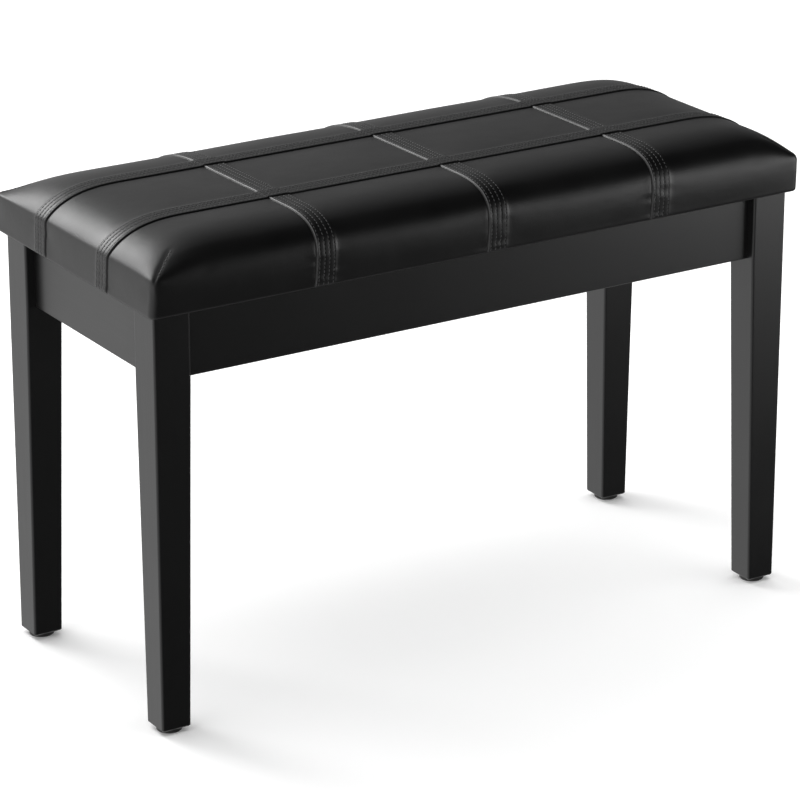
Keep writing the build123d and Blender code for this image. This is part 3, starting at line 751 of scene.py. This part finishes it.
# %% Move every vertex by its stuffing and its relief
skin.normal_update()
normals = [vert.normal.copy() for vert in skin.verts]
crease_shade_and_dust_layer = skin.verts.layers.float.new("crease")
fold_highlight_layer = skin.verts.layers.float.new("fold")
fold_highlight_on_side = 0.45             # the painted fold highlight is weaker on the upright sides than on the top
for vert in skin.verts:
    if vert[layer["ring"]] > last_side_ring:
        continue
    x, y = columns[vert[layer["column"]]], rows[vert[layer["row"]]]
    relief, crease, turned = band_relief(x, y)
    fold_down = ease(vert.co.z, underside + 0.3 * MM, underside + 5 * MM)
    relief = relief * fold_down + pucker(vert, x, y)
    if vert[layer["ring"]] == 0:
        taken_in = dart(vert.co.x, vert.co.y)
        relief += taken_in
        # The dart's groove is painted darker too, as painted shade.
        crease = max(crease, ease(-taken_in, 0.2, 1.6))
    # crease carries painted shade and fold a painted highlight into the leatherette's colour.
    vert[crease_shade_and_dust_layer] = crease * fold_down
    vert[fold_highlight_layer] = turned * fold_down * (1.0 if vert[layer["ring"]] == 0 else fold_highlight_on_side)
    vert.co += settled[vert.index] + normals[vert.index] * (relief * MM)

cushion_mesh = bpy.data.meshes.new("seat_cushion")
skin.normal_update()
skin.to_mesh(cushion_mesh)
cushion_mesh.polygons.foreach_set("use_smooth", [True] * len(cushion_mesh.polygons))
cushion = bpy.data.objects.new("seat_cushion", cushion_mesh)
bpy.context.scene.collection.objects.link(cushion)
cushion_mesh.materials.append(finishes["leatherette"])
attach(cushion, "lid")
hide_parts("seat_cover", "seat_foam")
print("cushion", len(cushion_mesh.polygons), "faces")

# %% [markdown]
# ## Topstitching
# The thread comes up and goes down every few millimetres, and only the piece between two
# needle holes shows. Each is a tiny ball stretched along the row and half sunk in the
# leatherette. There are thousands, so a ball has very few faces. A row lies on a line of the
# skin's own grid, which the integer layers find again.

# %% Follow one line of the skin from hem to hem
at_place = {(v[layer["column"]], v[layer["row"]], v[layer["ring"]]): v for v in skin.verts}


def seam_path(number, crossing):
    """Positions and normals along a column (crossing the seat) or a row of the skin."""
    if crossing:
        ends = [(number, 0), (number, len(rows) - 1)]
        middle = [(number, row) for row in range(len(rows))]
    else:
        ends = [(0, number), (len(columns) - 1, number)]
        middle = [(column, number) for column in range(len(columns))]
    up = [(*ends[0], ring) for ring in range(last_side_ring - 3, 0, -1)]
    down = [(*ends[1], ring) for ring in range(1, last_side_ring - 2)]
    places = up + [(*place, 0) for place in middle] + down
    return [(at_place[place].co.copy(), at_place[place].normal.copy()) for place in places]


stitch_pitch, stitch_length, thread_width = 4.2 * MM, 2.9 * MM, 1.05 * MM
stitch_lift = 0.25 * MM           # its middle above the skin


def nowhere(place):
    return False


def sew(whole, path, skip=nowhere):
    """Adds a stitch every stitch_pitch along the path, except where skip says so."""
    bm = bmesh.new()  # a row by itself, because each operator looks through all its mesh
    run, wanted, count = 0.0, stitch_pitch / 2, 0
    for (start, up), (stop, up_next) in zip(path, path[1:]):
        length = (stop - start).length
        while wanted <= run + length and length > 0:
            part = (wanted - run) / length
            place = start.lerp(stop, part)
            wanted += stitch_pitch
            if skip(place):
                continue
            ahead = (stop - start).normalized()
            above = up.lerp(up_next, part)
            aside = above.cross(ahead).normalized()
            above = ahead.cross(aside)
            turn = Matrix((ahead, aside, above)).transposed().to_4x4()
            size = Matrix.Diagonal((stitch_length / 2, thread_width / 2, thread_width / 2.4, 1))
            lifted = Matrix.Translation(place + above * stitch_lift)
            poles_along = Matrix.Rotation(math.pi / 2, 4, "Y")
            bmesh.ops.create_uvsphere(
                bm, u_segments=6, v_segments=4, radius=1, matrix=lifted @ turn @ size @ poles_along
            )
            count += 1
        run += length
    row_mesh = bpy.data.meshes.new("one row")
    bm.to_mesh(row_mesh)
    bm.free()
    whole.from_mesh(row_mesh)
    bpy.data.meshes.remove(row_mesh)
    return count


def finish_piece(name, bm, finish, body):
    """Makes the bmesh an object with its finish, riding on a body."""
    mesh = bpy.data.meshes.new(name)
    bm.to_mesh(mesh)
    bm.free()
    mesh.polygons.foreach_set("use_smooth", [True] * len(mesh.polygons))
    mesh.materials.append(finishes[finish])
    piece = bpy.data.objects.new(name, mesh)
    bpy.context.scene.collection.objects.link(piece)
    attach(piece, body)
    print(name, len(mesh.polygons), "faces")
    return piece


def nearest(lines, value):
    return min(range(len(lines)), key=lambda index: abs(lines[index] - value))


# %% Sew the bands
def under_long_band(place):
    return any(-1.5 * MM < place.y - fold < (band_width + 1) * MM for fold in long_folds)


cross_stitches = bmesh.new()
total = 0
for fold in cross_folds:
    for row in stitch_rows:
        path = seam_path(nearest(columns, fold + row * MM), True)
        total += sew(cross_stitches, path, under_long_band)
finish_piece("cross_band_stitches", cross_stitches, "thread", "lid")

long_stitches = bmesh.new()
for fold in long_folds:
    for row in stitch_rows:
        path = seam_path(nearest(rows, fold + row * MM), False)
        total += sew(long_stitches, path)
finish_piece("long_band_stitches", long_stitches, "thread", "lid")
print("stitches in the bands", total)

# %% [markdown]
# Each dart is closed by one short row of stitches beside its groove. No grid line runs that
# way, so the row is found by looking straight down on the skin.

# %% Sew the darts
from_above = BVHTree.FromBMesh(skin)
beside_groove = 1.9 * MM
dart_stitches = bmesh.new()
for side_x, side_y in ((-1, -1), (-1, 1), (1, -1), (1, 1)):
    path = []
    for step in range(2, 19):
        along = step * 2 * MM
        x_in = dart_start + along * dart_turn[0] + beside_groove * dart_turn[1]
        y_in = dart_start + along * dart_turn[1] - beside_groove * dart_turn[0]
        x, y = side_x * (top_length - x_in), side_y * (top_width - y_in)
        place, up, _, _ = from_above.ray_cast(Vector((x, y, 1)), Vector((0, 0, -1)))
        path.append((place, up))
    sew(dart_stitches, path)
finish_piece("corner_dart_stitches", dart_stitches, "thread", "lid")

# %% [markdown]
# ## The cloth under the lid
# A black spun-bonded cloth hides the underside of the board and the raw edge of the cover. It
# is stapled flat, so it is a thin sheet with only a slight sag between staples, and it has two
# slots where the ends of the stay links turn.

# %% Cloth with its slots
cloth_low, cloth_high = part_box("lid_lining")
link_low, link_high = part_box("stay_upper_link_right")
bracket_low, bracket_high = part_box("stay_lid_bracket_right")
slot_in, slot_out = bracket_high.x, link_high.x + 1.3 * MM
slot_middle, slot_half = (bracket_low.y + bracket_high.y) / 2, 13 * MM
slot_front, slot_back = slot_middle - slot_half, slot_middle + slot_half
lining = bmesh.new()
bmesh.ops.create_grid(lining, x_segments=60, y_segments=24, size=0.5, calc_uvs=False)
bmesh.ops.scale(
    lining, vec=(cloth_high.x - cloth_low.x, cloth_high.y - cloth_low.y, 1), verts=lining.verts
)
cuts = [((x, 0, 0), (1, 0, 0)) for x in (-slot_out, -slot_in, slot_in, slot_out)]
cuts += [((0, y, 0), (0, 1, 0)) for y in (slot_front, slot_back)]
for place, across in cuts:
    everything = lining.verts[:] + lining.edges[:] + lining.faces[:]
    bmesh.ops.bisect_plane(lining, geom=everything, plane_co=place, plane_no=across)


def in_slot(face):
    middle = face.calc_center_median()
    return slot_in < abs(middle.x) < slot_out and slot_front < middle.y < slot_back


bmesh.ops.delete(lining, geom=[f for f in lining.faces if in_slot(f)], context="FACES")
stapled = (4 * MM, 40 * MM)       # the sag grows from the first to the second, in from the edge
for vert in lining.verts:
    x, y = vert.co.x, vert.co.y
    free = ease(cloth_high.x - abs(x), *stapled) * ease(cloth_high.y - abs(y), *stapled)
    ripple = noise.noise(Vector((x * 9, y * 16, 0.4)))
    vert.co.z = cloth_high.z - 0.1 * MM - free * (0.35 + 0.5 * ripple) * MM
bmesh.ops.recalc_face_normals(lining, faces=lining.faces)
if sum(face.normal.z for face in lining.faces) > 0:
    bmesh.ops.reverse_faces(lining, faces=lining.faces)
lid_cloth = finish_piece("lid_dust_cloth", lining, "dust_cloth", "lid")
wall = lid_cloth.modifiers.new("thickness", "SOLIDIFY")
wall.thickness = 0.4 * MM
wall.offset = 1
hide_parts("lid_lining")

# %% [markdown]
# ## Floor, light and camera
# The floor is a plain pale sweep. Black lacquer and leatherette show only what they reflect,
# so most of the light is a soft glow all round that is brightest low down on the left and
# behind: the top and the left faces mirror it, and the faces towards the camera stay dark. A
# broad lamp overhead lights the floor and shows in no reflection. A softbox behind on the left
# draws the highlight over the end of the cushion, and a dim card lifts the right end of the
# front.

# %% Floor
floor = bmesh.new()
bmesh.ops.create_grid(floor, x_segments=2, y_segments=2, size=9, calc_uvs=False)
floor_mesh = bpy.data.meshes.new("studio floor")
floor.to_mesh(floor_mesh)
floor.free()
floor_piece = bpy.data.objects.new("studio_floor", floor_mesh)
bpy.context.scene.collection.objects.link(floor_piece)
paper = Finish(
    "white paper sweep", Specular_IOR_Level=0.1, Roughness=0.9, Emission_Strength=0.14
)
tone = paper.shade(paper.specks(3.0), (0.93, 0.93, 0.93), (0.945, 0.945, 0.945))
paper.feed("Base Color", tone)
floor_mesh.materials.append(paper.material)
floor_piece.visible_glossy = False


# %% Lights
def softbox(name, power, size, place, aim):
    data = bpy.data.lights.new(name, "AREA")
    data.shape = "RECTANGLE"
    data.energy = power
    data.size, data.size_y = size
    lamp = bpy.data.objects.new(name, data)
    lamp.location = place
    lamp.rotation_euler = (Vector(aim) - Vector(place)).to_track_quat("-Z", "Y").to_euler()
    bpy.context.scene.collection.objects.link(lamp)
    return lamp


overhead = softbox("overhead", 290, (7.0, 7.0), (0.3, 0.6, 4.4), (0, 0, 0))
overhead.visible_glossy = False
softbox("back left", 28, (1.2, 0.9), (-0.9, 2.0, 1.65), (0, 0, 0.45))
softbox("right card", 9.5, (1.3, 0.7), (1.45, -1.05, 0.35), (0.2, 0.0, 0.4))

# %% A glow that leans to one side
world = bpy.data.worlds.new("studio")
bpy.context.scene.world = world
world.use_nodes = True
sky = Network(world.node_tree)
brightest = Vector((-0.7, 0.5, -0.3)).normalized()
direction = sky.node("TexCoord", {}, {}, output=0)
lean = sky.node("VectorMath", {"operation": "DOT_PRODUCT"}, {0: direction, 1: brightest}, output=1)
glow = sky.node(
    "MapRange",
    {"interpolation_type": "SMOOTHSTEP"},
    {"Value": lean, "From Min": -0.7, "From Max": 0.93, "To Min": 0.01, "To Max": 1.0},
)
background = sky.tree.nodes["Background"]
background.inputs["Color"].default_value = (1, 1, 1, 1)
sky.tree.links.new(glow.socket, background.inputs["Strength"])

# %% Camera
view = bpy.data.cameras.new("camera")
view.sensor_width = 36
view.lens = 180.18
camera = bpy.data.objects.new("camera", view)
camera.location = (-2.0583, -3.2851, 1.6932)
camera.rotation_euler = (math.pi / 2 - 0.360816, 0, -0.559102)
bpy.context.scene.collection.objects.link(camera)
bpy.context.scene.camera = camera
bpy.context.scene.view_settings.view_transform = "Standard"

# %% Finish: free the skin
skin.free()
